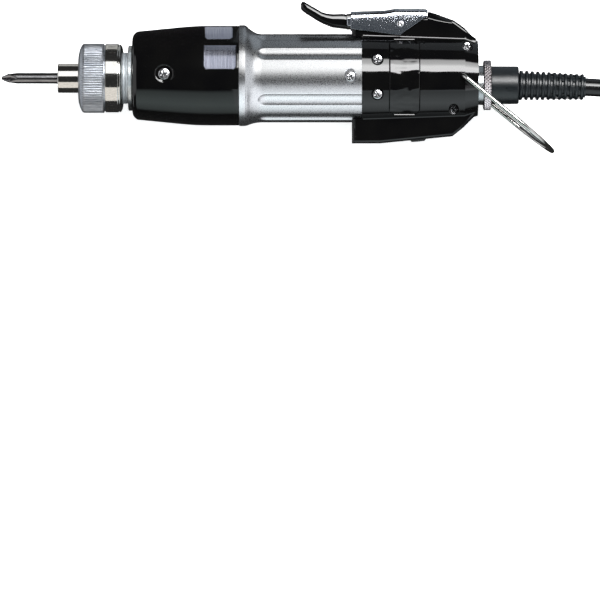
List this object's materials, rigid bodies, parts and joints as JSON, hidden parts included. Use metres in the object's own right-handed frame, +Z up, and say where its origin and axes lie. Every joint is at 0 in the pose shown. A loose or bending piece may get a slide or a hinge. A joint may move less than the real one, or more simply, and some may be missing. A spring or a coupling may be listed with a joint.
{
  "type": "electric screwdriver",
  "caption": "Corded bench screwdriver on its side: cross-point bit, knurled torque nut, black nose, fluted metal grip, start lever, hanging bail and a coiled cord with a plug.",
  "frame": {"origin": "on the spindle's axis at the mouth of the bit sleeve, where the bit's round shank comes out", "axes": "-X along the spindle to the bit's point, +Y to the start lever, +Z up as the tool lies on its side"},
  "size_m": [0.4142, 0.1016, 0.0464],
  "materials": {
    "tool_steel": "dark hardened steel",
    "polished_steel": "polished",
    "plated_steel": "satin nickel plate",
    "spring_steel": "bright drawn wire",
    "bearing_bronze": "sintered",
    "grip_aluminium": "satin turned",
    "black_plastic": "gloss moulded",
    "dark_plastic": "matt moulded",
    "soft_black": "satin moulded",
    "cord_jacket": "smooth extruded",
    "magnet": "sintered",
    "copper": "enamelled wire",
    "carbon": "pressed",
    "board": "lacquered"
  },
  "bodies": {
    "housing": {"torque_spring": "spring_steel", "push_washer": "plated_steel", "push_pins": "tool_steel", "clutch_housing": "plated_steel", "front_ring": "polished_steel", "front_bearing": "bearing_bronze", "ring_gear": "tool_steel", "gear_plate": "grip_aluminium", "front_bush": "bearing_bronze", "motor_can": "plated_steel", "motor_magnets": "magnet", "brush_holder": "dark_plastic", "carbon_brushes": "carbon", "rear_bush": "bearing_bronze", "nose_case": "black_plastic", "grip_tube": "grip_aluminium", "rear_housing_right": "black_plastic", "rear_housing_left": "black_plastic", "brush_cover_right": "black_plastic", "brush_cover_left": "black_plastic", "short_screws": "tool_steel", "case_screws": "tool_steel", "lever_pin": "polished_steel", "start_switch": "dark_plastic", "direction_switch": "dark_plastic", "circuit_board": "board", "cord_socket": "plated_steel", "plug_boot": "soft_black", "strain_relief": "soft_black", "power_cord": "cord_jacket", "cord_coil": "cord_jacket", "cord_tie": "dark_plastic", "cord_tail": "cord_jacket", "far_plug_body": "soft_black", "far_plug_shell": "plated_steel", "far_plug_pins": "copper"},
    "rotor": {"motor_shaft": "polished_steel", "sun_gear": "tool_steel", "armature_core": "tool_steel", "armature_winding": "copper", "commutator": "copper"},
    "spindle": {"screwdriver_bit": "tool_steel", "spindle": "plated_steel", "lock_balls": "polished_steel", "retaining_clip": "spring_steel", "sleeve_spring": "spring_steel", "planet_carrier": "plated_steel"},
    "planet_1": {"planet_gear_1": "tool_steel"},
    "planet_2": {"planet_gear_2": "tool_steel"},
    "planet_3": {"planet_gear_3": "tool_steel"},
    "bit_sleeve": {"bit_sleeve": "polished_steel"},
    "spring_seat": {"spring_seat": "plated_steel"},
    "torque_nut": {"torque_nut": "polished_steel"},
    "start_lever": {"start_lever": "polished_steel", "finger_piece": "black_plastic"},
    "switch_plunger": {"switch_plunger": "dark_plastic"},
    "direction_knob": {"direction_knob": "black_plastic"},
    "bail": {"bail": "polished_steel"},
    "coupling_ring": {"coupling_ring": "plated_steel"}
  },
  "joints": [
    {"name": "rotor_spin", "type": "hinge", "parent": "housing", "child": "rotor", "pos_m": [0.1, 0, 0], "axis": [1, 0, 0], "continuous": true},
    {"name": "spindle_spin", "type": "hinge", "parent": "housing", "child": "spindle", "pos_m": [0, 0, 0], "axis": [1, 0, 0], "continuous": true},
    {"name": "planet_1_spin", "type": "hinge", "parent": "spindle", "child": "planet_1", "pos_m": [0.05, 0.009, 0], "axis": [1, 0, 0], "continuous": true},
    {"name": "planet_2_spin", "type": "hinge", "parent": "spindle", "child": "planet_2", "pos_m": [0.05, -0.0045, 0.00779], "axis": [1, 0, 0], "continuous": true},
    {"name": "planet_3_spin", "type": "hinge", "parent": "spindle", "child": "planet_3", "pos_m": [0.05, -0.0045, -0.00779], "axis": [1, 0, 0], "continuous": true},
    {"name": "sleeve_slide", "type": "slide", "parent": "spindle", "child": "bit_sleeve", "axis": [-1, 0, 0], "range_m": [0, 0.003], "stiffness_N_per_m": 600, "springref_m": -0.003, "deforming": ["sleeve_spring"]},
    {"name": "spring_seat_slide", "type": "slide", "parent": "housing", "child": "spring_seat", "axis": [1, 0, 0], "range_m": [-0.006, 0.002], "deforming": ["torque_spring"]},
    {"name": "torque_nut_turn", "type": "hinge", "parent": "spring_seat", "child": "torque_nut", "pos_m": [0.02, 0, 0], "axis": [1, 0, 0], "range_deg": [-2160, 720], "deforming": ["torque_spring"]},
    {"name": "lever_press", "type": "hinge", "parent": "housing", "child": "start_lever", "pos_m": [0.1573, 0.0245, 0], "axis": [0, 0, 1], "range_deg": [0, 4], "stiffness_Nm_per_rad": 1.5, "springref_deg": -2.86},
    {"name": "plunger_slide", "type": "slide", "parent": "housing", "child": "switch_plunger", "axis": [0, -1, 0], "range_m": [0, 0.001]},
    {"name": "direction_slide", "type": "slide", "parent": "housing", "child": "direction_knob", "axis": [0.9953, 0.0969, 0], "range_m": [-0.002, 0.002]},
    {"name": "bail_swing", "type": "hinge", "parent": "housing", "child": "bail", "pos_m": [0.1858, 0.0006, 0], "axis": [0, 0, 1], "range_deg": [-100, 24]},
    {"name": "coupling_turn", "type": "hinge", "parent": "housing", "child": "coupling_ring", "pos_m": [0.1974, -0.0032, 0], "axis": [1, 0, 0], "range_deg": [-90, 0]}
  ],
  "couplings": [
    {"joint": "spindle_spin", "follows": "rotor_spin", "ratio": 0.2},
    {"joint": "planet_1_spin", "follows": "rotor_spin", "ratio": -0.53333},
    {"joint": "planet_2_spin", "follows": "rotor_spin", "ratio": -0.53333},
    {"joint": "planet_3_spin", "follows": "rotor_spin", "ratio": -0.53333},
    {"joint": "spring_seat_slide", "follows": "torque_nut_turn", "m_per_rad": 0.00015915},
    {"joint": "plunger_slide", "follows": "lever_press", "m_per_rad": 0.0123}
  ]
}
